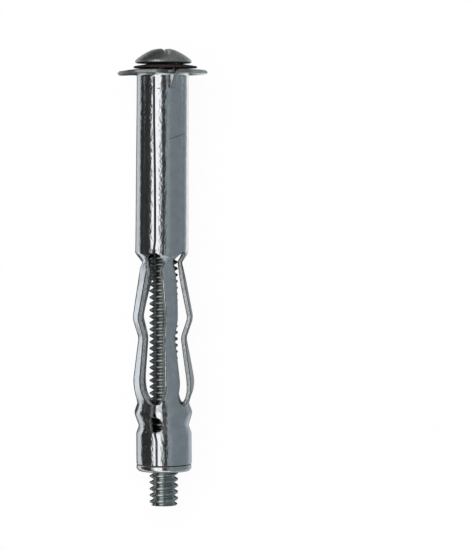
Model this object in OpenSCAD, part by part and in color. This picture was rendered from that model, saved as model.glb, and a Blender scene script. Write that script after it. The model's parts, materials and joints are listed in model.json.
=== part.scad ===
// Hollow wall anchor: a machine screw with a fibre washer, run through a slotted sheet-metal sleeve
// into a nut that is pressed into the far end of the sleeve.
// The sleeve is one rolled sheet: a flange with two teeth, a tube with a butt seam, and bent legs
// that fold out behind the wall when the screw draws the nut up.
// Modelled along +Z with the head up and the wall face of the flange at the origin, then laid down
// as it comes to rest: on the two corners of a flange notch and on the nut end. Millimetres.

/* [Screw] */
// Outside diameter of the thread
thread_d = 4.7; // [4.4:0.05:5]
// Turns of the thread in an inch
threads_per_inch = 24; // [20:4:32]
// Diameter of the head
head_d = 9.4; // [8.6:0.1:10.2]
// Height of the head
head_h = 2.4; // [2.2:0.05:2.8]
// Height of the straight rim under the dome
head_rim_h = 0.6; // [0.4:0.05:0.8]
// Width of the screwdriver slot
slot_w = 1.1; // [0.9:0.05:1.3]
// Depth of the screwdriver slot at the crown
slot_depth = 1.2; // [0.9:0.05:1.4]
// Span of the cross recess
cross_d = 4; // [3.6:0.1:4.6]
// Span of the cross recess at its foot
cross_foot_d = 1.6; // [1.2:0.1:2]
// Width of one arm of the cross recess
cross_w = 0.94; // [0.8:0.02:1.1]
// Depth of the cross recess below the crown
cross_depth = 2.1; // [1.8:0.05:2.4]
// Turn of the slot to the right of straight up
slot_turn = 12; // [-60:1:60]
// Length of thread that stands out of the nut
tip_out = 5.75; // [3:0.25:8]

/* [Washer] */
// Outside diameter of the fibre washer
washer_d = 10.5; // [9.8:0.1:11]
// Thickness of the fibre
washer_t = 0.3; // [0.25:0.05:0.4]
// Height by which the middle is dished up
washer_dish = 0.4; // [0.2:0.05:0.5]
// Gap between the flange and the washer, as the screw is not done up
washer_gap = 0.34; // [0.2:0.02:0.5]
// Gap between the middle of the washer and the head
head_gap = 0.2; // [0.05:0.05:0.3]

/* [Flange] */
// Thickness of the sheet that the sleeve is rolled from
sheet_t = 0.65; // [0.55:0.05:0.75]
// Diameter of the flange
flange_d = 14.9; // [14.4:0.1:15.6]
// Inside radius of the turn from the tube to the flange
flare_r = 0.45; // [0.35:0.05:0.6]
// Distance from the axis to the root of a notch
notch_root = 5.05; // [4.95:0.05:5.3]
// Distance from the axis to the pointed corner of a notch
corner_r = 7.15; // [6.8:0.05:7.2]
// Turn from the tooth to the pointed corner
corner_turn = 20; // [16:1:24]
// Turn from the tooth to the flat beside the pointed corner
flat_turn = 33; // [28:1:36]
// Distance from the axis to the outer end of a tooth
tooth_reach = 7.17; // [6.9:0.01:7.2]
// Depth of a tooth below the wall face
tooth_l = 2.4; // [1.8:0.1:3]
// Width of a tooth at its tip
tooth_tip_w = 0.4; // [0.3:0.05:0.6]
// Inside radius of the bend that turns a tooth down
tooth_bend_r = 0.4; // [0.3:0.05:0.5]

/* [Tube] */
// Outside diameter of the tube under the flange
tube_d = 8.5; // [8.3:0.05:8.7]
// Outside diameter of the tube at the slots
tube_end_d = 8.76; // [8.6:0.02:8.9]
// Length of the plain tube, from the wall face to the slots
tube_l = 29.4; // [12:0.2:40]
// Width of the butt seam
seam_w = 0.2; // [0.15:0.05:0.3]

/* [Legs] */
// Number of legs
leg_count = 5; // [4:1:5]
// Width of one leg
leg_w = 2.35; // [2.1:0.05:2.6]
// Width of one leg at the waist, where it folds
fold_w = 1.75; // [1.5:0.05:2]
// Length of the stretch of a leg that narrows to the fold
fold_l = 8; // [5:0.2:9]
// Turn of the first leg to the right of straight up
leg_turn = 11.5; // [-20:0.5:20]
// Radius of the rounded slot ends
slot_end_r = 1.38; // [1.2:0.02:1.5]
// Outside width across the legs at the neck
neck_d = 6.74; // [6.6:0.02:7]
// Outside width across the legs at the knee
knee_d = 10.38; // [9.8:0.02:10.8]
// Outside width across the legs at the waist
waist_d = 8.14; // [7.8:0.02:8.6]
// Outside width across the legs at the belly
belly_d = 10.4; // [9.8:0.02:10.8]
// Run along the axis from the tube to the neck
neck_run = 1.55; // [1.4:0.05:1.8]
// Run along the axis from the neck to the knee
knee_run = 9.2; // [7:0.1:11]
// Run along the axis from the knee to the waist
waist_run = 3.25; // [2.8:0.05:4]
// Run along the axis from the waist to the belly
belly_run = 7.7; // [6:0.1:9]

/* [Nut end] */
// Outside diameter at the ankle, where the legs join again
ankle_d = 8.56; // [8.4:0.02:8.8]
// Outside diameter of the ridge above the groove
ridge_d = 9.64; // [9.4:0.02:9.8]
// Outside diameter in the groove
groove_d = 8.2; // [8:0.02:8.4]
// Outside diameter of the socket for the nut
socket_d = 9.16; // [9:0.02:9.4]
// Run along the axis from the belly to the ankle
ankle_run = 3.25; // [2.8:0.05:3.6]
// Run along the axis from the ankle to the ridge
ridge_run = 1.5; // [1.3:0.05:1.8]
// Run along the axis from the ridge to the groove
groove_run = 2.15; // [1.9:0.05:2.4]
// Run along the axis from the groove to the socket
socket_run = 1.3; // [1.1:0.05:1.6]
// Length of the socket
socket_l = 5.05; // [4:0.05:6]
// Width of the eye where the seam crosses the groove
eye_w = 2.1; // [1.6:0.05:2.3]
// Height of the eye
eye_h = 2.45; // [2.3:0.05:2.6]
// Height of the middle of the eye above the bottom of the groove
eye_rise = 0.4; // [0.2:0.05:0.6]
// Diameter of the nut's collar
collar_d = 9.1; // [8.9:0.02:9.3]
// Height of the nut's collar
collar_h = 1.15; // [0.9:0.05:1.4]

/* [Hidden] */
$fn = 64;
bend_steps = 6;
lap = 0.6;
leg_sink = 0.06;
run_clear = 0.05;
press_clear = 0.01;
// Shares of a run by which the rolled shell reaches on into the legs, and a leg into the shell
shell_share_neck = 0.1;
shell_share_ankle = 0.3;
leg_share = 0.4;
// Radius of each bend, on the middle line of the sheet
tube_end_bend = 0.8;
neck_bend = 1.2;
knee_bend = 2.5;
waist_bend = 2.5;
belly_bend = 7;
ankle_bend = 0.7;
collar_bend = 0.9;
// Chamfers of the screw's tip, the nut's inner end and the nut's collar
tip_chamfer_w = 0.3;
nut_lead = 0.4;
collar_chamfer = 0.3;

// Thread form: flat crests and roots of one width, and straight flanks
inch = 25.4;
flank_angle = 60;
thread_flat_share = 0.15;
thread_pitch = inch / threads_per_inch;
thread_flat = thread_flat_share * thread_pitch;
thread_depth = (thread_pitch / 2 - thread_flat) / tan(flank_angle / 2);

thread_r = thread_d / 2;
root_r = thread_r - thread_depth;
head_r = head_d / 2;
flange_r = flange_d / 2;
dome_h = head_h - head_rim_h;
dome_r = (head_r * head_r + dome_h * dome_h) / (2 * dome_h);

z_tube = -tube_l;
z_neck = z_tube - neck_run;
z_knee = z_neck - knee_run;
z_waist = z_knee - waist_run;
z_belly = z_waist - belly_run;
z_ankle = z_belly - ankle_run;
z_ridge = z_ankle - ridge_run;
z_groove = z_ridge - groove_run;
z_socket = z_groove - socket_run;
z_end = z_socket - socket_l;
z_slot_top = z_tube - slot_end_r;
z_slot_end = z_ankle + slot_end_r;
z_collar = z_end - collar_h;
z_tip = z_collar - tip_out;
z_washer = sheet_t + washer_gap;
z_head = z_washer + washer_dish + washer_t + head_gap;

thread_turns = floor((z_head - z_tip) / thread_pitch);

fold_cut = (leg_w - fold_w) / 2;
fold_cut_r = (fold_l * fold_l / 4 + fold_cut * fold_cut) / (2 * fold_cut);

leg_step = 360 / leg_count;
seam_turn = leg_turn - leg_step / 2;

// The part lies on the pointed corner and the tooth of the notch below, and on its nut end
corner = corner_r * [-sin(corner_turn), cos(corner_turn)];
tooth_turn = atan((tooth_reach - corner.y) / -corner.x);
foot_depth = tooth_reach * cos(tooth_turn);
rest_tilt = atan((foot_depth - max(socket_d, collar_d) / 2) / -z_end);

function unit(v) = v / norm(v);
function left_of(v) = [-v.y, v.x];
function turned(v, a) = [v.x * cos(a) - v.y * sin(a), v.x * sin(a) + v.y * cos(a)];
// Distance of the middle of the sheet from the axis, for an outside diameter
function mid(d) = (d - sheet_t) / 2;

// One bend of a sheet: places along its middle line, each with the way across the sheet
function sheet_bend(before, at, after, radius) =
    let (
        run_in = unit(at - before),
        run_out = unit(after - at),
        turn = atan2(run_in.x * run_out.y - run_in.y * run_out.x, run_in * run_out),
        way = sign(turn),
        centre = at - run_in * radius * tan(abs(turn) / 2) + left_of(run_in) * way * radius
    )
    [
        for (i = [0 : bend_steps])
            let (across = turned(left_of(run_in), turn * i / bend_steps))
            [centre - across * way * radius, across]
    ];

// Section of a sheet that is bent at each stop; a stop is [across, along, bend radius]
module sheet_section(stops) {
    at = [for (s = stops) [s[0], s[1]]];
    last = len(at) - 1;
    line = [
        [at[0], left_of(unit(at[1] - at[0]))],
        for (i = [1 : last - 1]) each sheet_bend(at[i - 1], at[i], at[i + 1], stops[i][2]),
        [at[last], left_of(unit(at[last] - at[last - 1]))]
    ];
    polygon([
        for (s = line) s[0] + s[1] * sheet_t / 2,
        for (i = [len(line) - 1 : -1 : 0]) line[i][0] - line[i][1] * sheet_t / 2
    ]);
}

// Turns what is drawn about +Z with the head up into the way the anchor lies
module as_it_lies() {
    rotate([rest_tilt - 90, 0, 0]) children();
}

// Puts what is drawn along +X at an angle to the right of straight up
module facing(turn) {
    rotate(turn - 90) children();
}

// A round bar that runs out from the axis
module radial_bar(r, z) {
    translate([0, 0, z]) rotate([0, 90, 0]) cylinder(r = r, h = flange_d);
}

module screw() {
    color("Silver") as_it_lies() difference() {
        union() {
            translate([0, 0, z_head]) rotate_extrude() head_section();
            rotate_extrude() thread_section();
        }
        translate([0, 0, z_head + head_h]) facing(slot_turn) drive();
        translate([0, 0, z_tip]) rotate_extrude() tip_chamfer();
    }
}

module head_section() {
    intersection() {
        translate([0, head_h - dome_r]) circle(r = dome_r, $fn = 180);
        square([head_r, head_h]);
    }
}

// The thread, drawn as one ring for each turn
module thread_section() {
    crest = thread_flat / 2;
    flank = (thread_pitch - thread_flat) / 2;
    polygon([
        [0, z_tip],
        for (i = [0 : thread_turns - 1])
            let (z = z_tip + (i + 0.5) * thread_pitch)
            each [[root_r, z - flank], [thread_r, z - crest], [thread_r, z + crest], [root_r, z + flank]],
        [root_r, z_head + lap],
        [0, z_head + lap]
    ]);
}

module tip_chamfer() {
    polygon([
        [thread_r - tip_chamfer_w, -lap],
        [thread_r - tip_chamfer_w, 0],
        [thread_r, tip_chamfer_w],
        [thread_r + lap, tip_chamfer_w],
        [thread_r + lap, -lap]
    ]);
}

// Slot and cross recess, drawn down from the crown
module drive() {
    translate([-head_r, -slot_w / 2, -slot_depth]) cube([head_d, slot_w, head_h]);
    intersection() {
        union() {
            translate([-cross_d, -cross_w / 2, -cross_depth]) cube([2 * cross_d, cross_w, head_h + lap]);
            translate([-cross_w / 2, -cross_d, -cross_depth]) cube([cross_w, 2 * cross_d, head_h + lap]);
        }
        translate([0, 0, -cross_depth]) cylinder(d1 = cross_foot_d, d2 = cross_d, h = cross_depth);
    }
}

module fibre_washer() {
    bore_r = thread_r + run_clear;
    rim_r = washer_d / 2;
    color("SaddleBrown") as_it_lies() translate([0, 0, z_washer]) rotate_extrude() polygon([
        [bore_r, washer_dish],
        [rim_r, 0],
        [rim_r, washer_t],
        [bore_r, washer_dish + washer_t]
    ]);
}

module sleeve() {
    color("LightSteelBlue") as_it_lies() difference() {
        union() {
            difference() {
                shell();
                for (side = [0, 180]) facing(tooth_turn + side) notch();
                for (i = [0 : leg_count - 1]) facing(seam_turn + i * leg_step) leg_slot();
                facing(seam_turn) seam();
            }
            for (side = [0, 180]) facing(tooth_turn + side) tooth();
            for (i = [0 : leg_count - 1]) facing(leg_turn + i * leg_step) leg();
        }
        for (i = [0 : leg_count - 1]) facing(seam_turn + i * leg_step) radial_bar(slot_end_r, z_slot_top);
    }
}

// The flange and tube, and the collar round the nut, as rolled and before slotting
module shell() {
    rotate_extrude() sheet_section([
        [flange_r, sheet_t / 2],
        [mid(tube_d), sheet_t / 2, flare_r + sheet_t / 2],
        [mid(tube_end_d), z_tube, tube_end_bend],
        [mid(neck_d), z_neck, neck_bend],
        below_neck()
    ]);
    rotate_extrude() sheet_section([
        above_ankle(),
        [mid(ankle_d), z_ankle, ankle_bend],
        [mid(ridge_d), z_ridge, collar_bend],
        [mid(groove_d), z_groove, collar_bend],
        [mid(socket_d), z_socket, collar_bend],
        [mid(socket_d), z_end]
    ]);
}

// Places on the straight runs of a leg where the rolled shell ends
function below_neck() =
    [mid(neck_d) + shell_share_neck * (knee_d - neck_d) / 2, z_neck - shell_share_neck * knee_run];
function above_ankle() =
    [mid(ankle_d) + shell_share_ankle * (belly_d - ankle_d) / 2, z_ankle + shell_share_ankle * ankle_run];

// The gap between two legs, with its rounded lower end; a round hole ends it at the top
module leg_slot() {
    apex = (leg_w / 2 - leg_sink) / sin(leg_step / 2);
    reach = flange_d * [cos(leg_step / 2), sin(leg_step / 2)];
    translate([0, 0, z_slot_end]) linear_extrude(z_slot_top - z_slot_end) polygon([
        [apex, 0],
        [apex + reach.x, reach.y],
        [apex + reach.x, -reach.y]
    ]);
    radial_bar(slot_end_r, z_slot_end);
}

// A flat leg that narrows to its fold at the waist, set a little into the round of the tube at its neck
// and of the collar at its ankle
module leg() {
    difference() {
        translate([-leg_sink, 0, 0]) rotate([90, 0, 0]) linear_extrude(leg_w, center = true) leg_section();
        for (side = [-1, 1])
            translate([0, side * (fold_w / 2 + fold_cut_r), 0]) radial_bar(fold_cut_r, z_waist);
    }
}

module leg_section() {
    sheet_section([
        [mid(neck_d) + leg_share * (tube_end_d - neck_d) / 2, z_neck + leg_share * neck_run],
        [mid(neck_d), z_neck, neck_bend],
        [mid(knee_d), z_knee, knee_bend],
        [mid(waist_d), z_waist, waist_bend],
        [mid(belly_d), z_belly, belly_bend],
        [mid(ankle_d), z_ankle, ankle_bend],
        [mid(ankle_d) + leg_share * (ridge_d - ankle_d) / 2, z_ankle - leg_share * ridge_run]
    ]);
}

// The butt seam of the rolled sheet and the eye beside the nut
module seam() {
    eye_z = z_groove + eye_rise;
    eye_r = eye_w / 2;
    translate([0, -seam_w / 2, z_end - lap]) cube([flange_r, seam_w, -z_end + lap - flare_r - sheet_t]);
    for (up = [-1, 1]) radial_bar(eye_r, eye_z + up * (eye_h / 2 - eye_r));
}

// The gap in the flange between a tooth and the pointed corner of the other wing
module notch() {
    edge = unit(corner - [0, notch_root]);
    past = [0, notch_root] + edge * flange_d;
    flat_far = corner_r * cos(flat_turn - corner_turn);
    bend = sheet_t + tooth_bend_r;
    translate([0, 0, -lap]) linear_extrude(sheet_t + 2 * lap) rotate(-90) polygon([
        [0, notch_root],
        [-past.x, past.y],
        [-bend, past.y],
        [-bend, tooth_root()],
        [0, tooth_root()]
    ]);
    rotate(-flat_turn) translate([flat_far, -flange_r, -lap]) cube([flange_r, flange_d, sheet_t + 2 * lap]);
}

function tooth_root() = tube_d / 2 + flare_r;

// The end of a wing, bent down to bite into the wall
module tooth() {
    intersection() {
        rotate([90, 0, 90]) linear_extrude(flange_r) sheet_section([
            [sheet_t + tooth_bend_r + lap, sheet_t / 2],
            [sheet_t / 2, sheet_t / 2, tooth_bend_r + sheet_t / 2],
            [sheet_t / 2, -tooth_l - lap]
        ]);
        rotate([90, 0, 0]) linear_extrude(flange_d, center = true) polygon([
            [tooth_root(), sheet_t],
            [tooth_reach, sheet_t],
            [tooth_reach, 0],
            [tooth_root() + tooth_tip_w, -tooth_l],
            [tooth_root(), -tooth_l]
        ]);
    }
}

module nut() {
    bore_r = thread_r + run_clear;
    body_r = socket_d / 2 - sheet_t - press_clear;
    z_top = z_socket - lap / 2;
    color("Gainsboro") as_it_lies() rotate_extrude() polygon([
        [bore_r, z_top],
        [body_r - nut_lead, z_top],
        [body_r, z_top - nut_lead],
        [body_r, z_end],
        [collar_d / 2, z_end],
        [collar_d / 2, z_collar + collar_chamfer],
        [collar_d / 2 - collar_chamfer, z_collar],
        [bore_r, z_collar]
    ]);
}

screw();
fibre_washer();
sleeve();
nut();
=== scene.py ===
import json
import math

import bpy
import numpy as np
from mathutils import Matrix, Vector


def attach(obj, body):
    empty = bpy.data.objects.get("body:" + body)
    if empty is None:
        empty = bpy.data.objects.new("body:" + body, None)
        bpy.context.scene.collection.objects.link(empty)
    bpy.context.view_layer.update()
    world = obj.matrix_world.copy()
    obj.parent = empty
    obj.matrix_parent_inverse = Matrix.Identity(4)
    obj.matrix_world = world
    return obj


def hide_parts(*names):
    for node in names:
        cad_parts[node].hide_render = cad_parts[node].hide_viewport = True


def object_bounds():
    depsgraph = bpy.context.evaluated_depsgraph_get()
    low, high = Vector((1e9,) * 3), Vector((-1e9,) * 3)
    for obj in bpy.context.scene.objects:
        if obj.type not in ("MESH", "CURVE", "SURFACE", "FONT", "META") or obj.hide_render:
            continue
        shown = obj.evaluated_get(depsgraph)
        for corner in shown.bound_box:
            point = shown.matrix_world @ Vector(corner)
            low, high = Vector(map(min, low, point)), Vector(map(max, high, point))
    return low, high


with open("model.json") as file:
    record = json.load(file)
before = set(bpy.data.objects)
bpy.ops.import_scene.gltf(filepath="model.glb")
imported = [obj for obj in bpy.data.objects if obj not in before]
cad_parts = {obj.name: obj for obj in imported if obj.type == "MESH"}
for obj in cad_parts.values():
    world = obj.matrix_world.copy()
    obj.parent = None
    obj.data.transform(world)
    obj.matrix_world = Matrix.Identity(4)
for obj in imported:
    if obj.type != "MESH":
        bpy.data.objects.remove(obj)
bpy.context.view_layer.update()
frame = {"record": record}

# Frame
# Shapes are drawn in millimetres about +Z, head up, wall face of the flange at the origin.
# "Turn" is the angle to the right of straight up, in degrees, as the anchor lies.
MM = 0.001
SEAT = next(m for m in frame["record"]["mounts"] if m["name"] == "flange_seat")
AXIS = -Vector(SEAT["axis"]).normalized()


def lay(points):
    """Turns drawn coordinates into the way the anchor lies."""
    x, y, z = np.asarray(points, float).T
    return np.stack([x, y * AXIS.z + z * AXIS.y, -y * AXIS.y + z * AXIS.z], 1)


def out(turn):
    a = math.radians(turn)
    return np.array([math.sin(a), -math.cos(a), 0.0])


def right(turn):
    a = math.radians(turn)
    return np.array([math.cos(a), math.sin(a), 0.0])


def smooth_step(x):
    x = np.clip(x, 0.0, 1.0)
    return x * x * (3 - 2 * x)


def new_piece(name, verts, faces, body, replaced, material, normals=None, sharp=None, marks=None):
    """Makes a drawn mesh into a piece that rides on a body and stands for a node."""
    mesh = bpy.data.meshes.new(name)
    mesh.from_pydata((lay(verts) * MM).tolist(), [], [list(map(int, f)) for f in faces])
    for key, values in (marks or {}).items():
        layer = mesh.attributes.new(key, "FLOAT", "POINT")
        layer.data.foreach_set("value", np.asarray(values, np.float32))
    mesh.shade_smooth()
    if sharp:
        mesh.set_sharp_from_angle(angle=math.radians(sharp))
    if normals is not None:
        mesh.normals_split_custom_set_from_vertices(lay(normals).tolist())
    mesh.materials.append(material)
    piece = bpy.data.objects.new(name, mesh)
    bpy.context.scene.collection.objects.link(piece)
    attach(piece, body)
    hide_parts(replaced)
    return piece


# Materials
def new_material(name):
    mat = bpy.data.materials.new(name)
    mat.use_nodes = True
    tree = mat.node_tree
    tree.nodes.clear()
    shader = tree.nodes.new("ShaderNodeBsdfPrincipled")
    output = tree.nodes.new("ShaderNodeOutputMaterial")
    tree.links.new(shader.outputs[0], output.inputs["Surface"])
    return mat, tree, shader


def add(tree, kind, links=None, **values):
    node = tree.nodes.new(kind)
    for key, value in values.items():
        setattr(node, key, value)
    for key, value in (links or {}).items():
        socket = node.inputs[key]
        if isinstance(value, bpy.types.NodeSocket):
            tree.links.new(value, socket)
        else:
            socket.default_value = value
    return node


def noise(tree, where, scale, detail=4.0, rough=0.55):
    links = {"Vector": where, "Scale": scale, "Detail": detail, "Roughness": rough}
    return add(tree, "ShaderNodeTexNoise", links).outputs["Fac"]


def stretched(tree, where, scale):
    return add(tree, "ShaderNodeMapping", {"Vector": where, "Scale": scale}).outputs[0]


def absolute(tree, value):
    return add(tree, "ShaderNodeMath", {0: value}, operation="ABSOLUTE").outputs[0]


def spread(tree, value, low, high, to_low, to_high):
    links = {"Value": value, "From Min": low, "From Max": high, "To Min": to_low, "To Max": to_high}
    return add(tree, "ShaderNodeMapRange", links).outputs["Result"]


def mix(tree, fac, a, b):
    node = add(tree, "ShaderNodeMix", data_type="RGBA")
    for name, kind, value in (("Factor", "VALUE", fac), ("A", "RGBA", a), ("B", "RGBA", b)):
        socket = next(s for s in node.inputs if s.name == name and s.type == kind)
        if isinstance(value, bpy.types.NodeSocket):
            tree.links.new(value, socket)
        else:
            socket.default_value = value
    return next(s for s in node.outputs if s.type == "RGBA")


def scratch(tree, where, x, y, angle, length, width):
    """A straight mark on the upper side, 1 along its middle; sizes in metres."""
    place = {
        "Vector": where,
        "Location": (x, y, 0),
        "Rotation": (0, 0, math.radians(angle)),
        "Scale": (length / 2, width / 2, 1),
    }
    mapped = add(tree, "ShaderNodeMapping", place, vector_type="TEXTURE").outputs[0]
    local = add(tree, "ShaderNodeSeparateXYZ", {0: mapped})
    mask = spread(tree, local.outputs["Z"], 0.0, 0.001, 0.0, 1.0)
    for axis in ("X", "Y"):
        near = spread(tree, absolute(tree, local.outputs[axis]), 0.4, 1.0, 1.0, 0.0)
        mask = add(tree, "ShaderNodeMath", {0: mask, 1: near}, operation="MULTIPLY").outputs[0]
    return mask


SPECK_SHARE = 0.5
BUMP_HEIGHT = 0.000004
PIT_SHARE = 9.0
# near-black of the painted shade: lines along eased edges, and the shade on the thread inside the sleeve
PAINTED_SHADE = (0.05, 0.05, 0.05, 1)
GRIME = (0.1, 0.09, 0.08, 1)


def plated(name, pale, dull, spot, rough, torn_tones, torn_rough, torn_metal=1.0, scratches=()):
    """Bright zinc on steel, with cloudy patches, fine dark specks and shallow pits.

    The mark "cut" turns it into dull torn metal. Where the mark is near a half it lays on a dark line of
    painted shade.
    """
    mat, tree, shader = new_material(name)
    where = add(tree, "ShaderNodeTexCoord").outputs["Object"]
    cloud = spread(tree, noise(tree, where, 700.0, 5.0), 0.35, 0.7, 0.0, 1.0)
    fine = noise(tree, where, 5200.0, 3.0, 0.6)
    specks = spread(tree, fine, 0.6, 0.75, 0.0, SPECK_SHARE)
    colour = mix(tree, specks, mix(tree, cloud, pale, dull), spot)
    polish = spread(tree, noise(tree, where, 1500.0, 4.0), 0.3, 0.75, rough[0], rough[1])
    cut = add(tree, "ShaderNodeAttribute", attribute_name="cut").outputs["Fac"]
    tree.links.new(spread(tree, cut, 0.0, 1.0, 1.0, torn_metal), shader.inputs["Metallic"])
    torn = noise(tree, stretched(tree, where, (1.0, 0.4, 1.0)), 5200.0, 3.0)
    torn_colour = mix(tree, spread(tree, torn, 0.4, 0.62, 0.0, 1.0), *torn_tones)
    colour = mix(tree, cut, colour, torn_colour)
    # painted shade where the mark is near a half: a dark line along eased edges, and shade on the thread
    off_line = add(tree, "ShaderNodeMath", {0: cut, 1: 2.0, 2: -1.0}, operation="MULTIPLY_ADD").outputs[0]
    colour = mix(tree, spread(tree, absolute(tree, off_line), 0.15, 0.6, 0.9, 0.0), colour, PAINTED_SHADE)
    for mark in scratches:
        colour = mix(tree, scratch(tree, where, *mark), colour, GRIME)
    tree.links.new(colour, shader.inputs["Base Color"])
    worn = add(tree, "ShaderNodeMix", {"Factor": cut, "A": polish, "B": torn_rough}).outputs[0]
    tree.links.new(worn, shader.inputs["Roughness"])
    pitted = noise(tree, stretched(tree, where, (1.0, 0.55, 1.0)), 2300.0, 1.4, 0.5)
    links = {0: pitted, 1: PIT_SHARE, 2: noise(tree, where, 900.0, 3.0)}
    height = add(tree, "ShaderNodeMath", links, operation="MULTIPLY_ADD").outputs[0]
    bump = add(tree, "ShaderNodeBump", {"Height": height, "Strength": 1.0, "Distance": BUMP_HEIGHT})
    tree.links.new(bump.outputs[0], shader.inputs["Normal"])
    return mat


def fibre_material():
    mat, tree, shader = new_material("fibre_board")
    shader.inputs["Roughness"].default_value = 0.7
    where = add(tree, "ShaderNodeTexCoord").outputs["Object"]
    strands = noise(tree, stretched(tree, where, (0.4, 1.0, 1.6)), 2600.0, 6.0, 0.7)
    shade = spread(tree, strands, 0.35, 0.7, 0.0, 1.0)
    colour = mix(tree, shade, (0.012, 0.009, 0.008, 1), (0.042, 0.03, 0.025, 1))
    tree.links.new(colour, shader.inputs["Base Color"])
    bump = add(tree, "ShaderNodeBump", {"Height": strands, "Strength": 0.6, "Distance": 0.00003})
    tree.links.new(bump.outputs[0], shader.inputs["Normal"])
    return mat


# Tones of torn metal, dark and pale
SHEARED = ((0.4, 0.42, 0.43, 1), (0.72, 0.73, 0.73, 1))
ROLLED = ((0.4, 0.41, 0.4, 1), (0.68, 0.7, 0.68, 1))
# Place, angle, length and width of each scratch on the tube
SCRATCHES = [(0.0019, -0.0104, 18.8, 0.0037, 0.00011), (-0.00114, -0.0026, 4.0, 0.0006, 0.0002)]
ZINC = plated(
    "zinc_sheet",
    pale=(0.80, 0.82, 0.84, 1),
    dull=(0.70, 0.73, 0.75, 1),
    spot=(0.45, 0.46, 0.46, 1),
    rough=(0.1, 0.22),
    torn_tones=SHEARED,
    torn_rough=0.5,
    torn_metal=0.78,
    scratches=SCRATCHES,
)
SCREW_ZINC = plated(
    "zinc_screw",
    pale=(0.6, 0.64, 0.64, 1),
    dull=(0.42, 0.46, 0.46, 1),
    spot=(0.2, 0.21, 0.19, 1),
    rough=(0.22, 0.36),
    torn_tones=ROLLED,
    torn_rough=0.4,
)
NUT_ZINC = plated(
    "zinc_nut",
    pale=(0.84, 0.85, 0.84, 1),
    dull=(0.7, 0.72, 0.7, 1),
    spot=(0.3, 0.3, 0.28, 1),
    rough=(0.14, 0.3),
    torn_tones=SHEARED,
    torn_rough=0.5,
)
FIBRE = fibre_material()

# Sleeve: one sheet, drawn by its middle line
T = 0.65
LEGS = 5
LEG_TURN = 11.5
LEG_STEP = 360 / LEGS
HALF_STEP = math.pi / LEGS
# Heights where the legs leave the tube and reach the ridge
LEGS_TOP, LEGS_END = -30.6, -54.4
# Half width of a leg by height: narrow at the waist, where it folds
LEG_HALF = [
    (-54.4, 1.22), (-50.5, 1.2), (-46.4, 1.02), (-43.1, 0.86), (-40.3, 0.95), (-37.3, 1.09), (-33.0, 1.16),
    (-29.0, 1.18),
]
# How each leg stands off its even place: turn about the axis, twist about its own length at knee and belly,
# and width
LEG_STRAY = (3.0, -8.0, 1.0, -1.0, 0.0)
LEG_TWIST = ((0.0, 0.0), (0.0, -7.0), (0.0, 0.0), (0.0, 0.0), (-7.0, -7.0))
LEG_WIDTH = (1.14, 1.0, 1.0, 1.0, 1.15)
# How far the face of a leg rolls over towards its sheared edges, and from which share of its half width on
ROLL, ROLL_FROM = 0.7, 0.55
# How far the sleeve strays sideways from the screw, by height
SWAY = [
    (-64.35, 0.05), (-59.0, 0.02), (-54.5, -0.1), (-50.0, -0.26), (-44.0, -0.36), (-31.0, -0.36),
    (-28.0, -0.28), (-5.0, -0.14), (0.65, -0.12),
]
# How far the seam strays to the right about the axis, in degrees by height, where the sheet is a round tube
SEAM_STRAY = [
    (-64.35, 4.0), (-60.2, 4.0), (-59.0, 0.0), (-30.2, 0.0), (-27.4, 4.5), (-22.6, 4.2), (-17.7, 3.5),
    (-12.8, 2.3), (-7.9, 0.7), (-3.0, 0.0),
]
FLANGE_R = 7.45
FLARE_END = 4.7
KEY_TOP = -29.4
Z_END = -64.35
# Distance of the sheet's middle from the axis, height, and bend radius at each stop down the sleeve
STOPS = [
    (FLANGE_R, T / 2), (3.925, T / 2, 0.775), (4.055, KEY_TOP, 0.8), (3.045, -30.95, 1.2),
    (4.865, -40.15, 2.5), (3.745, -43.4, 2.5), (4.875, -51.1, 7.0), (3.955, -54.35, 0.7),
    (4.495, -55.85, 0.9), (3.775, -58.0, 0.9), (4.255, -59.3, 0.9), (4.255, Z_END),
]
Z_SEAM = -0.6
SEAM_HALF = 0.12
KEY_R = 1.38
# Share of the full size of the hole at the top of each slot, from the slot right of the first leg on
KEY_SHARE = (0.62, 1.0, 0.25, 1.0, 1.0)
# Length over which a slot opens to its full width below its hole, or 0
SLOT_LATE = (0.0, 0.0, 9.5, 0.0, 0.0)
KEY_Z = KEY_TOP - KEY_R
END_Z, END_H = -52.2, 2.2
# The eye reaches further to the right of the seam than to the left, and its corners are squared a little
EYE_Z, EYE_H, EYE_LEFT, EYE_RIGHT, EYE_SQUARE = -57.6, 1.28, 0.85, 1.12, 2.6
GORE_TOP, GORE_END, GORE_W = -55.5, -56.3, 0.2
BEND_STEPS = 14


def bent_line(stops, steps):
    """The line through the stops, with each corner rounded by its own radius."""
    points = [np.array(stops[0][:2], float)]
    for before, at, after in zip(stops, stops[1:], stops[2:]):
        p, q, r = (np.array(s[:2], float) for s in (before, at, after))
        u, v = (q - p) / np.linalg.norm(q - p), (r - q) / np.linalg.norm(r - q)
        turn = math.atan2(u[0] * v[1] - u[1] * v[0], float(u @ v))
        way, left = math.copysign(1, turn), np.array([-u[1], u[0]])
        centre = q - u * at[2] * math.tan(abs(turn) / 2) + left * way * at[2]
        for i in range(steps + 1):
            c, s = math.cos(turn * i / steps), math.sin(turn * i / steps)
            across = np.array([left[0] * c - left[1] * s, left[0] * s + left[1] * c])
            points.append(centre - across * way * at[2])
    points.append(np.array(stops[-1][:2], float))
    return np.array(points)


# From the flare on down, without the flat of the flange
LINE = bent_line(STOPS, BEND_STEPS)[1:]


def radius_at(z):
    return float(np.interp(-z, -LINE[:, 1], LINE[:, 0]))


def leg_half(z):
    heights, halves = zip(*LEG_HALF)
    return float(np.interp(z, heights, halves))


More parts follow.
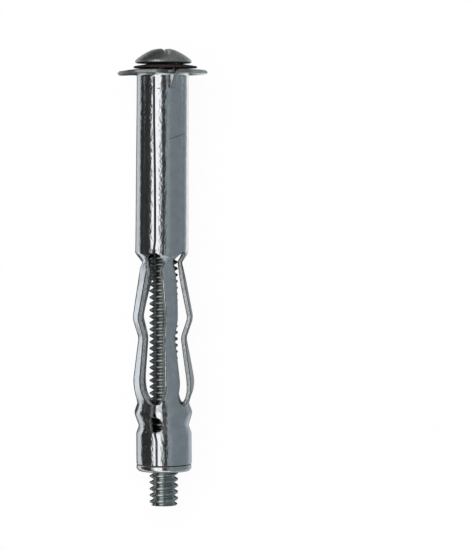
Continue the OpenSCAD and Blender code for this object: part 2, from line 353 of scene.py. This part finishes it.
def slot_gap(z, r, key_r, late):
    """Half of the gap between two legs, as an angle about the axis."""
    if z >= KEY_TOP or z <= END_Z - END_H:
        return 0.0
    beside_leg = HALF_STEP - leg_half(z) / r
    if late:
        beside_leg *= smooth_step((KEY_TOP - z) / late)
    key_z = KEY_TOP - key_r
    hole = key_r ** 2 - (z - key_z) ** 2
    key = math.asin(math.sqrt(hole) / (r + T / 2)) if hole > 0 else 0.0
    if z > key_z:
        return key
    if z > END_Z:
        return max(key, beside_leg)
    return beside_leg * math.sqrt(max(0.0, 1 - ((END_Z - z) / END_H) ** 2))


def seam_stray(z):
    heights, turns = zip(*SEAM_STRAY)
    return float(np.interp(z, heights, turns))


def seam_gap(z, r, eye_w):
    """Half of the gap at the butt seam, with its eye, as an angle about the axis."""
    if z > Z_SEAM:
        return 0.0
    half = SEAM_HALF
    if GORE_END <= z <= GORE_TOP:
        half += GORE_W * (GORE_TOP - z) / (GORE_TOP - GORE_END)
    eye = 1 - abs((z - EYE_Z) / EYE_H) ** EYE_SQUARE
    if eye > 0:
        half = max(half, eye_w * eye ** (1 / EYE_SQUARE))
    return math.asin(half / (r + T / 2))


def along_legs(z):
    """1 along the free length of the legs, and 0 where they join the tube and the collar."""
    return smooth_step((LEGS_TOP - z) / 4) * smooth_step((z - LEGS_END) / 4)


def leg_twist(leg, z):
    knee, belly = LEG_TWIST[leg]
    return knee + (belly - knee) * smooth_step((-43 - z) / 6)


def flatness(z):
    """1 where the legs are flat, and 0 where the sheet is round."""
    return min(smooth_step((KEY_TOP - 0.5 - z) / 1.7), smooth_step((z - LEGS_END) / 2.2))


def sleeve_rows():
    """Heights of the rows of the mesh: first those that an edge needs, then those that the bends need."""
    in_flare = BEND_STEPS + 1
    fixed = [Z_SEAM, KEY_Z, END_Z, GORE_TOP, GORE_END, Z_END]
    fixed += [KEY_Z + KEY_R * math.cos(math.radians(a)) for a in range(0, 181, 10)]
    fixed += [END_Z - END_H * math.sin(math.radians(a)) for a in range(0, 91, 7)] + [END_Z - END_H]
    fixed += [EYE_Z + EYE_H * math.cos(math.radians(a)) for a in range(0, 181, 12)]
    flare = [float(z) for z in LINE[:in_flare, 1]]
    fixed = sorted(set(round(z, 4) for z in fixed), reverse=True)
    loose = [float(z) for z in LINE[in_flare:, 1]] + list(np.arange(-0.9, Z_END, -0.38))
    rows = flare + [fixed[0]]
    rows += [z for i, z in enumerate(fixed[1:], 1) if fixed[i - 1] - z > 0.012]
    for z in loose:
        if z < flare[-1] - 0.1 and min(abs(z - k) for k in rows) > 0.09:
            rows.append(z)
    return sorted(rows, reverse=True)


# Flange: angles are measured from a tooth
TOOTH_TURNS = (10.454, 191.5)
BEND_ARC, BEND_R = 1.05, 0.725
SLIT = math.degrees(math.asin(BEND_ARC / FLARE_END))
# The wing before a tooth starts at the notch's cut and goes on as a straight chord
CUT_FROM, CUT_OUT, CUT_ACROSS, CUT_END = 5.05, 1.669, 2.445, -20.0
CHORD_OFF, CHORD_TURN, CHORD_END = 6.967, 33, -53.75
# Its rim near a tooth lies a little further in
NEAR_R = 7.25
TOOTH_NEAR, TOOTH_FAR, TOOTH_TIP, TOOTH_TOP, TOOTH_DROP = 4.58, 7.17, 5.1, -0.4, 2.4
WING_LEAN = -4.58


def sector_columns(leg):
    """Places across one fifth of the sheet, from -1 to 1, with a place at each corner of the flange."""
    places = list(np.linspace(-1, 1, 17))
    for tooth in TOOTH_TURNS:
        for corner in (0.0, SLIT, CUT_END, CHORD_END):
            d = (tooth + corner - LEG_TURN - LEG_STEP * leg + 180) % 360 - 180
            u = d / (LEG_STEP / 2)
            if abs(u) < 0.985:
                near = min(range(1, 16), key=lambda i: abs(places[i] - u))
                if abs(places[near] - u) < 0.07:
                    places[near] = u
                else:
                    places.append(u)
    return sorted(places)


def rim_reach(d):
    """How far the flange reaches from the axis at an angle d from a tooth."""
    if CUT_END <= d <= 0:
        a = math.radians(-d)
        k = CUT_FROM * math.tan(a) / (CUT_ACROSS - CUT_OUT * math.tan(a))
        return (CUT_FROM + CUT_OUT * k) / math.cos(a)
    if CHORD_END <= d < CUT_END:
        return CHORD_OFF / math.cos(math.radians(d + CHORD_TURN))
    return NEAR_R + (FLANGE_R - NEAR_R) * smooth_step((d - 8.3) / 7)


def sheet_of_sleeve():
    """The middle of the sheet as one open surface: places, faces, and how far each normal rolls over."""
    verts, rolls, faces, index = [], [], [], {}
    rows = sleeve_rows()
    columns = [sector_columns(s) for s in range(LEGS)]
    shape = []
    for z in rows:
        r = radius_at(z)
        gaps = [slot_gap(z, r, KEY_R * share, late) for share, late in zip(KEY_SHARE, SLOT_LATE)]
        seams = [max(gaps[-1], seam_gap(z, r, eye_w)) for eye_w in (EYE_LEFT, EYE_RIGHT)]
        shape.append((z, r, gaps, seams, flatness(z), along_legs(z)))

    def vert(s, i, j):
        last = len(columns[s]) - 1
        z, r, gaps, seams, flat, free = shape[i]
        edge_gap = [seams[1] if s == 0 else gaps[s - 1], seams[0] if s == LEGS - 1 else gaps[s]]
        if j == last and edge_gap[1] == 0:
            return vert((s + 1) % LEGS, i, 0)
        key = (s, i, j)
        if key not in index:
            u = columns[s][j]
            a = u * (HALF_STEP - edge_gap[0 if u < 0 else 1])
            across = r * a * (1 + (LEG_WIDTH[s] - 1) * free)
            turn = LEG_TURN + LEG_STEP * s + LEG_STRAY[s] * free + seam_stray(z)
            reach = (1 - flat) * r * math.cos(a) + flat * r
            side = (1 - flat) * r * math.sin(a) + flat * across
            index[key] = len(verts)
            sideways = right(turn + leg_twist(s, z) * free)
            verts.append(reach * out(turn) + side * sideways + np.array([0, 0, z]))
            rolled = smooth_step((abs(u) - ROLL_FROM) / (1 - ROLL_FROM))
            rolls.append(sideways * math.copysign(ROLL, u) * free * rolled)
        return index[key]

    for s in range(LEGS):
        for i in range(len(rows) - 1):
            for j in range(len(columns[s]) - 1):
                faces.append([vert(s, i + 1, j), vert(s, i + 1, j + 1), vert(s, i, j + 1), vert(s, i, j)])

    # the flange, row by row out from the flare
    ring = []
    for s in range(LEGS):
        for j, u in enumerate(columns[s][:-1]):
            ring.append((LEG_TURN + LEG_STEP * (s + u / 2), vert(s, 0, j)))
    fractions = [0.0, 0.1, 0.22, 0.36, 0.5, 0.64, 0.77, 0.88, 1.0]
    for which, tooth in enumerate(TOOTH_TURNS):
        span = (TOOTH_TURNS[1 - which] - tooth) % 360
        wing = sorted(((t - tooth + 1e-6) % 360, v) for t, v in ring)
        wing = [(d, v) for d, v in wing if SLIT - 1e-3 < d < span + 1e-3]
        lines = []
        for d, v in wing:
            shift = WING_LEAN * (1 - smooth_step((d - SLIT) / 20))
            back = d - span
            reach = rim_reach(back if back > CHORD_END - 0.05 else d + shift)
            a, b = FLARE_END * out(tooth + d), reach * out(tooth + d + shift)
            line = [v]
            for f in fractions[1:]:
                line.append(len(verts))
                verts.append(a + (b - a) * f + np.array([0, 0, T / 2]))
            lines.append(line)
        for a, b in zip(lines, lines[1:]):
            for f in range(len(fractions) - 1):
                faces.append([a[f], b[f], b[f + 1], a[f + 1]])
        # the tooth, bent down at the end of the wing
        stations = [(math.radians(a), None) for a in range(15, 91, 15)]
        stations += [(math.pi / 2, TOOTH_TOP - k * 0.25) for k in range(1, 9)]
        before = lines[0]
        for angle, depth in stations:
            side = BEND_ARC - BEND_R * math.sin(angle)
            z = TOOTH_TOP + BEND_R * math.cos(angle) if depth is None else depth
            near = TOOTH_NEAR + 0.12 * min(1.0, angle / (math.pi / 2))
            far = TOOTH_FAR if z > 0 else TOOTH_FAR + (TOOTH_TIP - TOOTH_FAR) * (-z / TOOTH_DROP)
            line = []
            for f in fractions:
                line.append(len(verts))
                reach = near + (far - near) * f
                verts.append(reach * out(tooth) + side * right(tooth) + np.array([0, 0, z]))
            for f in range(len(fractions) - 1):
                faces.append([line[f], before[f], before[f + 1], line[f + 1]])
            before = line
    rolls += [np.zeros(3)] * (len(verts) - len(rolls))
    return np.array(verts), np.array(faces), np.array(rolls)


def thicken(verts, faces, thick, ease, rolls):
    """Gives an open sheet its thickness, with an eased edge all round it.

    thick, ease and rolls are given for each place. The marks are 1 on the sheared edge and 0 on the faces.
    At the rim of a face they depend on how far it is eased.
    """
    a, b, c, d = (verts[faces[:, k]] for k in range(4))
    area = np.cross(c - a, d - b)
    normal = np.zeros_like(verts)
    for k in range(4):
        np.add.at(normal, faces[:, k], area)
    normal /= np.linalg.norm(normal, axis=1)[:, None] + 1e-12
    face_normal = area / (np.linalg.norm(area, axis=1)[:, None] + 1e-12)
    edges = {}
    for f, face in enumerate(faces):
        for k in range(4):
            p, q = int(face[k]), int(face[(k + 1) % 4])
            if (q, p) in edges:
                del edges[(q, p)]
            else:
                edges[(p, q)] = f
    away = np.zeros_like(verts)
    joined = {}
    for (p, q), f in edges.items():
        along = verts[q] - verts[p]
        outward = np.cross(along, face_normal[f])
        outward /= np.linalg.norm(outward) + 1e-12
        for v in (p, q):
            joined.setdefault(v, []).append(outward)
    for v, ways in joined.items():
        mean = sum(ways)
        mean /= np.linalg.norm(mean) + 1e-12
        away[v] = mean / max(0.6, float(mean @ ways[0]))
    n = len(verts)
    e = ease[:, None]
    t = np.asarray(thick)[:, None]
    top = verts + normal * T / 2 - away * e
    low = verts - normal * (t - T / 2) - away * e
    rim = sorted(joined)
    spot = {v: k for k, v in enumerate(rim)}
    rim_at, rim_normal, rim_ease = verts[rim], normal[rim], e[rim]
    unit_away = away[rim] / (np.linalg.norm(away[rim], axis=1)[:, None] + 1e-12)
    upper = rim_at + rim_normal * (T / 2 - rim_ease)
    lower = rim_at - rim_normal * (t[rim] - T / 2 - rim_ease)
    all_verts = np.concatenate([top, low, upper, lower])
    all_normals = np.concatenate([normal + rolls, -normal, unit_away, unit_away])
    all_normals /= np.linalg.norm(all_normals, axis=1)[:, None] + 1e-12
    marks = np.concatenate([np.zeros(2 * n), np.ones(2 * len(rim))])
    # across an eased edge the mark rises to 1, and where it passes a half the material paints a dark line
    # of shade; 0.9 keeps it off
    edge_mark = np.where(ease > 0.2, 0.9, np.where(ease > 0.15, 0.4, 0.0))[rim]
    marks[rim] = marks[np.array(rim) + n] = edge_mark
    all_faces = [list(f) for f in faces]
    all_faces += [[f[3] + n, f[2] + n, f[1] + n, f[0] + n] for f in faces]
    for p, q in edges:
        up, uq = 2 * n + spot[p], 2 * n + spot[q]
        lp, lq = up + len(rim), uq + len(rim)
        all_faces += [[q, p, up, uq], [uq, up, lp, lq], [lq, lp, p + n, q + n]]
    return all_verts, all_faces, all_normals, marks


def build_sleeve():
    verts, faces, rolls = sheet_of_sleeve()
    far = np.hypot(verts[:, 0], verts[:, 1])
    past_flare = FLARE_END + 0.05
    flange = (verts[:, 2] > -0.1) & (far > past_flare)
    slotted = (verts[:, 2] < -29) & (verts[:, 2] > -59)
    tip = smooth_step((np.abs(verts[:, 0]) - 5.2) / 1.6)
    ease = np.where(flange, 0.13 + 0.16 * tip, np.where(slotted, 0.17, 0.09))
    ease = np.where(slotted & (verts[:, 2] > -32.3), 0.27, ease)
    thick = T + 0.07 * np.clip((-30 - verts[:, 2]) / 2, 0, 1) * np.clip((verts[:, 2] + 54) / 2, 0, 1)
    verts, faces, normals, marks = thicken(verts, faces, thick, ease, rolls)
    # painted shade makes the flange's edge darker in the middle and on the left, and its left wing droops
    across, height = verts[:, 0], verts[:, 2]
    far = np.hypot(across, verts[:, 1])
    rim_painted_shade = 0.65 + 0.32 * smooth_step((across - 3.6) / 2) + 0.02 * smooth_step((-3.6 - across) / 2)
    marks = np.where((height > -3) & (far > past_flare), marks * rim_painted_shade, marks)
    wing = (height > -0.6) & (far > past_flare)
    verts[:, 2] -= np.where(wing, 0.2 * smooth_step((-4.5 - across) / 2.8), 0.0)
    heights, strays = zip(*SWAY)
    verts[:, 0] += np.interp(verts[:, 2], heights, strays)
    return new_piece(
        "sleeve_sheet", verts, faces, "anchor", "sleeve", ZINC, normals, marks={"cut": marks},
    )


# Turned pieces
def lathe(profile, count=96, closed=False):
    """Turns a profile of [distance, height] about the axis; an end on the axis closes to a point."""
    verts, faces, rings = [], [], []
    for r, z in profile:
        if r == 0:
            rings.append([len(verts)] * count)
            verts.append((0, 0, z))
        else:
            rings.append(list(range(len(verts), len(verts) + count)))
            for k in range(count):
                a = 2 * math.pi * k / count
                verts.append((r * math.cos(a), r * math.sin(a), z))
    pairs = list(zip(rings, rings[1:])) + ([(rings[-1], rings[0])] if closed else [])
    for a, b in pairs:
        for k in range(count):
            m = (k + 1) % count
            face = [a[k], a[m], b[m], b[k]]
            faces.append([v for i, v in enumerate(face) if v not in face[:i]])
    return verts, faces


Z_TIP, Z_HEAD, HEAD_H = -71.25, 1.89, 2.4
THREAD_R, THREAD_DEPTH, PITCH = 2.35, 0.64, 1.0583
SLOT_TURN, SLOT_LONG, SLOT_DEEP = 12.0, 6, 1.2


def thread():
    """A rolled right-hand thread, from the cut tip up into the head."""
    count = 48
    # one turn of the profile: part of the pitch, and share of the depth
    shape = [(0.0, 0.0), (0.045, 0.0), (0.375, 0.93), (0.42, 1.0), (0.58, 1.0), (0.625, 0.93), (0.955, 0.0)]
    verts, faces = [], []
    low, high = Z_TIP - PITCH * 1.42, Z_HEAD + 0.6
    turns = int((high - low) / PITCH) + 1
    steps = turns * count
    for j in range(steps + 1):
        a = 2 * math.pi * j / count
        for part, lift in shape:
            z = low + PITCH * (j / count + part)
            r = THREAD_R - THREAD_DEPTH * (1 - lift)
            flat = min(max(z, Z_TIP), high)
            r = min(r, THREAD_R - 0.28 + max(0.0, flat - Z_TIP) * 0.9)
            verts.append((r * math.cos(a), r * math.sin(a), flat))
    n = len(shape)
    for j in range(steps):
        for k in range(n):
            if k < n - 1:
                a, b = j * n + k, j * n + k + 1
            else:
                if j + count + 1 > steps:
                    continue
                a, b = j * n + k, (j + count) * n
            quad = [a, a + n, b + n, b]
            if len({tuple(np.round(verts[v], 6)) for v in quad}) > 2:
                faces.append(quad)
    cap = [(0.0, Z_TIP)] + [(r, Z_TIP) for r in (0.9, THREAD_R - THREAD_DEPTH + 0.02)]
    cv, cf = lathe(cap[::-1], count)
    faces += [[v + len(verts) for v in f] for f in cf]
    return verts + cv, faces


def carved(verts, faces, cutters, bevel):
    """Cuts closed meshes out of one closed mesh and eases the edges that are left."""
    made = []
    for k, (v, f) in enumerate([(verts, faces)] + cutters):
        mesh = bpy.data.meshes.new(f"rough_{k}")
        mesh.from_pydata([list(map(float, p)) for p in v], [], [list(map(int, q)) for q in f])
        mesh.shade_smooth()
        obj = bpy.data.objects.new(f"rough_{k}", mesh)
        bpy.context.scene.collection.objects.link(obj)
        made.append(obj)
    body = made[0]
    for cutter in made[1:]:
        cut = body.modifiers.new("cut", "BOOLEAN")
        cut.operation, cut.solver, cut.object = "DIFFERENCE", "EXACT", cutter
    edge = body.modifiers.new("edge", "BEVEL")
    edge.width, edge.segments, edge.limit_method = bevel, 2, "ANGLE"
    edge.angle_limit, edge.use_clamp_overlap = math.radians(35), False
    bpy.context.view_layer.update()
    done = bpy.data.meshes.new_from_object(body.evaluated_get(bpy.context.evaluated_depsgraph_get()))
    points = [tuple(v.co) for v in done.vertices]
    polys = [list(p.vertices) for p in done.polygons]
    bpy.data.meshes.remove(done)
    for obj in made:
        mesh = obj.data
        bpy.data.objects.remove(obj)
        bpy.data.meshes.remove(mesh)
    return points, polys


def prism(outline_low, outline_high, z_low, z_high):
    """A closed block between two outlines with the same number of corners."""
    n = len(outline_low)
    verts = [(x, y, z_low) for x, y in outline_low] + [(x, y, z_high) for x, y in outline_high]
    faces = [[k, (k + 1) % n, n + (k + 1) % n, n + k] for k in range(n)]
    return verts, faces + [list(range(n))[::-1], [n + k for k in range(n)]]


def cross_outline(span, width, fillet):
    """Outline of a cross recess with eased inner corners."""
    s, w = span / 2, width / 2
    quarter = [(s, -w), (s, w)]
    centre = w + fillet
    for degrees in (0, 30, 60, 90):
        a = math.radians(degrees)
        quarter.append((centre - fillet * math.sin(a), centre - fillet * math.cos(a)))
    points = []
    for q in range(4):
        c, n = (1, 0, -1, 0)[q], (0, 1, 0, -1)[q]
        points += [(x * c - y * n, x * n + y * c) for x, y in quarter]
    return points


def strip(length, half):
    return [(-length, -half), (length, -half), (length, half), (-length, half)]


def build_screw():
    top = HEAD_H - 0.04
    profile = [
        (0.0, -0.1), (4.1, -0.1), (4.4, -0.08), (4.55, -0.03), (4.63, 0.05), (4.65, 0.16), (4.63, 0.28),
        (4.57, 0.42), (4.45, 0.55), (4.15, 0.8), (3.66, 1.15), (3.16, 1.48), (2.5, 1.84), (1.9, 2.1),
        (1.3, top - 0.1), (0.7, top - 0.03), (0.0, top),
    ]
    head_v, head_f = lathe(profile, 96)
    slot = prism(strip(SLOT_LONG, 0.55), strip(SLOT_LONG, 0.57), top - SLOT_DEEP, top + 1)
    cross = prism(cross_outline(1.7, 0.86, 0.2), cross_outline(4.35, 1.0, 0.3), top - 2.1, top + 0.35)
    head_v, head_f = carved(head_v, head_f, [slot, cross], 0.06)
    c, s = out(SLOT_TURN)[:2]
    head_v = [(x * c - y * s, x * s + y * c, z + Z_HEAD) for x, y, z in head_v]
    verts, faces = thread()
    faces += [[v + len(verts) for v in f] for f in head_f]
    # painted shade, carried in the mark "cut", makes the thread darker inside the sleeve, and most of all
    # behind the eye; the head is dull all over
    shaded = []
    for *_, z in verts:
        inside = 0.28 * smooth_step((z + 66) / 1.5) + 0.06 * smooth_step((z + 36.5) / 4)
        shaded.append(0.34 if -59.5 < z < -55.4 else float(inside))
    marks = {"cut": shaded + [1.0] * len(head_v)}
    verts = verts + head_v
    return new_piece(
        "machine_screw", verts, faces, "screw", "screw", SCREW_ZINC, sharp=32, marks=marks,
    )


def build_nut():
    bore, body, collar = 2.4, 3.92, 4.55
    z_top, z_low = -59.6, -65.5
    profile = [
        (bore, z_top - 0.25), (bore + 0.25, z_top), (body - 0.4, z_top), (body, z_top - 0.4),
        (body, Z_END + 0.02), (collar - 0.35, Z_END - 0.06), (collar - 0.16, Z_END - 0.1),
        (collar - 0.05, Z_END - 0.16), (collar, Z_END - 0.26), (collar, z_low + 0.5),
        (collar - 0.04, z_low + 0.36), (collar - 0.36, z_low + 0.04), (collar - 0.46, z_low),
        (bore + 0.3, z_low), (bore, z_low + 0.3),
    ]
    verts, faces = lathe(profile[::-1], 96, closed=True)
    verts = [(x + 0.03, y, z) for x, y, z in verts]
    return new_piece("anchor_nut", verts, faces, "anchor", "nut", NUT_ZINC, sharp=40)


def build_washer():
    """A dished ring, a little wavy. Its profile gives the share of the thickness in place of a height."""
    bore, rim, thick, z0, dish = 2.76, 5.25, 0.3, 0.99, 0.4
    ring = [(bore, 0.5), (bore + 0.05, 0.94), (bore + 0.12, 1.0)]
    ring += [(bore + 0.12 + (rim - bore - 0.22) * k / 12, 1.0) for k in range(1, 13)]
    ring += [(rim - 0.03, 0.88), (rim, 0.5), (rim - 0.03, 0.12)]
    ring += [(rim - 0.1 - (rim - bore - 0.22) * k / 12, 0.0) for k in range(0, 13)]
    ring += [(bore + 0.05, 0.06)]
    verts, faces = lathe(ring[::-1], 120, closed=True)
    shaped = []
    for x, y, part in verts:
        r, a = math.hypot(x, y), math.atan2(y, x)
        rise = dish * (1 - (r - bore) / (rim - bore)) ** 0.9 if r < rim else 0.0
        wave = 0.015 * (r / rim) ** 2 * math.sin(2 * a + 0.6)
        shaped.append((x + 0.33, y, z0 + rise + wave + thick * part))
    return new_piece("fibre_ring", shaped, faces, "washer", "fibre_washer", FIBRE, sharp=50)


build_sleeve()
build_screw()
build_nut()
build_washer()

# Floor, light and camera
# The photograph looks at the side this far left of straight up
FRONT = -6.5
WHITE = (1, 1, 1, 1)
DARK, BLUE = (0.03, 0.03, 0.03), (0.19, 0.222, 0.24)
CARD_HALF = 0.05
floor_z = float(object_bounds()[0][2])


def seen_plain(tree, path):
    """1 for a ray that comes straight from the camera, also through glass."""
    links = {0: path.outputs["Is Camera Ray"], 1: path.outputs["Is Transmission Ray"]}
    return add(tree, "ShaderNodeMath", links, operation="MAXIMUM").outputs[0]


def set_stops(ramp, stops):
    for k, (place, colour) in enumerate(stops):
        stop = ramp.color_ramp.elements[k] if k < 2 else ramp.color_ramp.elements.new(place)
        stop.position = place
        stop.color = (*colour, 1)


def mirrored_floor(tree):
    """Painted reflections that shiny surfaces see on the floor: pale and dark cards round the object, and
    white further out.
    """
    where = add(tree, "ShaderNodeSeparateXYZ", {0: add(tree, "ShaderNodeTexCoord").outputs["Object"]})
    x, y = where.outputs["X"], where.outputs["Y"]
    across = spread(tree, x, -CARD_HALF, CARD_HALF, 0.0, 1.0)

    def cards(left, right_side, inner=-0.009):
        """A pale card to the left and one to the right, with a painted shadow under the object between
        them.
        """
        ramp = add(tree, "ShaderNodeValToRGB", {"Fac": across})
        # under is the painted shadow beneath the object
        under, near = (0.06, 0.06, 0.06), (0.3, 0.34, 0.37)
        stops = [
            (-CARD_HALF, DARK), (-0.0215, DARK), (-0.0175, left), (inner, left), (inner + 0.003, under),
            (0.005, under), (0.008, right_side), (0.0115, right_side), (0.016, near), (0.032, BLUE),
            (CARD_HALF, BLUE),
        ]
        set_stops(ramp, [((at + CARD_HALF) / (2 * CARD_HALF), colour) for at, colour in stops])
        return ramp.outputs[0]

    by_tube = cards((0.64, 0.66, 0.68), (1.0, 1.0, 1.0))
    by_legs = cards((0.86, 0.9, 0.94), (0.3, 0.33, 0.35), -0.0125)
    by_collar = cards((0.7, 0.71, 0.71), (0.5, 0.52, 0.58))
    colour = mix(tree, spread(tree, y, -0.033, -0.029, 0.0, 1.0), by_legs, by_tube)
    colour = mix(tree, spread(tree, y, -0.058, -0.055, 0.0, 1.0), by_collar, colour)
    under_head = spread(tree, y, 0.0035, 0.0045, 0.0, 1.0)
    colour = mix(tree, under_head, colour, (0.6, 0.64, 0.69, 1))
    to_right = spread(tree, x, -0.003, 0.006, 0.0, 1.0)
    behind = mix(tree, to_right, (0.045, 0.047, 0.045, 1), (0.21, 0.215, 0.21, 1))
    past_head = spread(tree, y, 0.0085, 0.012, 0.0, 1.0)
    colour = mix(tree, past_head, colour, behind)
    from_middle = add(tree, "ShaderNodeMath", {0: y, 1: 0.033}, operation="ADD").outputs[0]
    colour = mix(tree, spread(tree, absolute(tree, x), 0.5, 0.65, 0.0, 1.0), colour, WHITE)
    return mix(tree, spread(tree, absolute(tree, from_middle), 0.25, 0.35, 0.0, 1.0), colour, WHITE)


def build_floor():
    """White to the camera, with a share of paper that takes the shadow, and plain paper to the light."""
    mesh = bpy.data.meshes.new("floor")
    half = 0.7
    corners = [(-half, -half), (half, -half), (half, half), (-half, half)]
    mesh.from_pydata([(x, y, floor_z) for x, y in corners], [], [[0, 1, 2, 3]])
    mat = bpy.data.materials.new("floor_paper")
    mat.use_nodes = True
    tree = mat.node_tree
    tree.nodes.clear()
    path = add(tree, "ShaderNodeLightPath")
    seen = add(tree, "ShaderNodeEmission", {"Color": WHITE, "Strength": 1.0})
    paper = add(tree, "ShaderNodeBsdfDiffuse", {"Color": (0.8, 0.8, 0.8, 1)})
    shown = add(tree, "ShaderNodeMixShader", {0: 0.04, 1: seen.outputs[0], 2: paper.outputs[0]})
    # glossy rays see the painted reflections and shadow of mirrored_floor in place of the paper
    mirrored = add(tree, "ShaderNodeEmission", {"Color": mirrored_floor(tree), "Strength": 1.0})
    links = {0: path.outputs["Is Glossy Ray"], 1: paper.outputs[0], 2: mirrored.outputs[0]}
    other = add(tree, "ShaderNodeMixShader", links)
    plain = seen_plain(tree, path)
    whole = add(tree, "ShaderNodeMixShader", {0: plain, 1: other.outputs[0], 2: shown.outputs[0]})
    add(tree, "ShaderNodeOutputMaterial", {"Surface": whole.outputs[0]})
    mesh.materials.append(mat)
    floor = bpy.data.objects.new("floor", mesh)
    bpy.context.scene.collection.objects.link(floor)


def build_world():
    """By angle about Y, a bright strip between dark ones and a blue side. Past the tip it is white."""
    world = bpy.data.worlds.new("studio")
    bpy.context.scene.world = world
    world.use_nodes = True
    tree = world.node_tree
    tree.nodes.clear()
    way = add(tree, "ShaderNodeSeparateXYZ", {0: add(tree, "ShaderNodeTexCoord").outputs["Generated"]})
    links = {0: way.outputs["X"], 1: way.outputs["Z"]}
    angle = add(tree, "ShaderNodeMath", links, operation="ARCTAN2").outputs[0]
    ramp = add(tree, "ShaderNodeValToRGB", {"Fac": spread(tree, angle, -math.pi, math.pi, 0.0, 1.0)})
    dark, bright = (0.03, 0.031, 0.03), (1.2, 1.2, 1.19)
    half, faint = (0.4, 0.4, 0.395), (0.09, 0.091, 0.09)
    blue_edge, blue_peak, blue_fall = (0.26, 0.3, 0.315), (0.285, 0.325, 0.34), (0.213, 0.248, 0.266)
    stops = [
        (-180, dark), (-49, dark), (-44, bright), (-12, bright), (-6.5, half), (0, faint), (6, dark),
        (14, dark), (18.5, blue_edge), (27, blue_peak), (37, blue_fall), (48, BLUE), (180, BLUE),
    ]
    set_stops(ramp, [(min(1, max(0, (psi + FRONT + 180) / 360)), colour) for psi, colour in stops])
    over_head = spread(tree, way.outputs["Y"], 0.4, 0.75, 0.0, 1.0)
    to_right = spread(tree, way.outputs["X"], -0.5, 0.6, 0.0, 1.0)
    overhead = mix(tree, to_right, (0.11, 0.116, 0.114, 1), (0.27, 0.285, 0.285, 1))
    colour = mix(tree, over_head, ramp.outputs[0], overhead)
    past_tip = spread(tree, way.outputs["Y"], -0.9, -0.97, 0.0, 1.0)
    colour = mix(tree, past_tip, colour, WHITE)
    colour = mix(tree, seen_plain(tree, add(tree, "ShaderNodeLightPath")), colour, WHITE)
    back = add(tree, "ShaderNodeBackground", {"Color": colour, "Strength": 1.0})
    add(tree, "ShaderNodeOutputWorld", {"Surface": back.outputs[0]})


def build_lamp():
    lamp = bpy.data.lights.new("overhead", "AREA")
    lamp.shape, lamp.size, lamp.size_y, lamp.energy = "RECTANGLE", 0.5, 0.5, 3.0
    obj = bpy.data.objects.new("overhead", lamp)
    obj.location = (-0.12, 0.1, 0.5)
    obj.rotation_euler = (Vector((0, -0.03, 0)) - obj.location).to_track_quat("-Z", "Y").to_euler()
    obj.visible_glossy = False
    bpy.context.scene.collection.objects.link(obj)


def build_camera():
    """Looks at the side of the anchor, which stands left of the middle of the picture."""
    distance, frame_height, sensor = 0.44, 0.0909, 24.0
    swing = Matrix.Rotation(math.radians(FRONT), 3, AXIS)
    toward, above = swing @ Vector((0, 0, 1)), swing @ Vector((0, 1, 0))
    across = above.cross(toward)
    target = AXIS * -0.0331 + across * 0.01205
    data = bpy.data.cameras.new("camera")
    data.sensor_fit, data.sensor_height, data.sensor_width = "VERTICAL", sensor, sensor
    data.lens = sensor * distance / frame_height
    data.clip_start, data.clip_end = 0.01, 10
    camera = bpy.data.objects.new("camera", data)
    turn = Matrix((across, above, toward)).transposed()
    camera.matrix_world = Matrix.Translation(target + toward * distance) @ turn.to_4x4()
    bpy.context.scene.collection.objects.link(camera)
    bpy.context.scene.camera = camera


build_floor()
build_world()
build_lamp()
build_camera()
bpy.context.scene.view_settings.view_transform = "Standard"
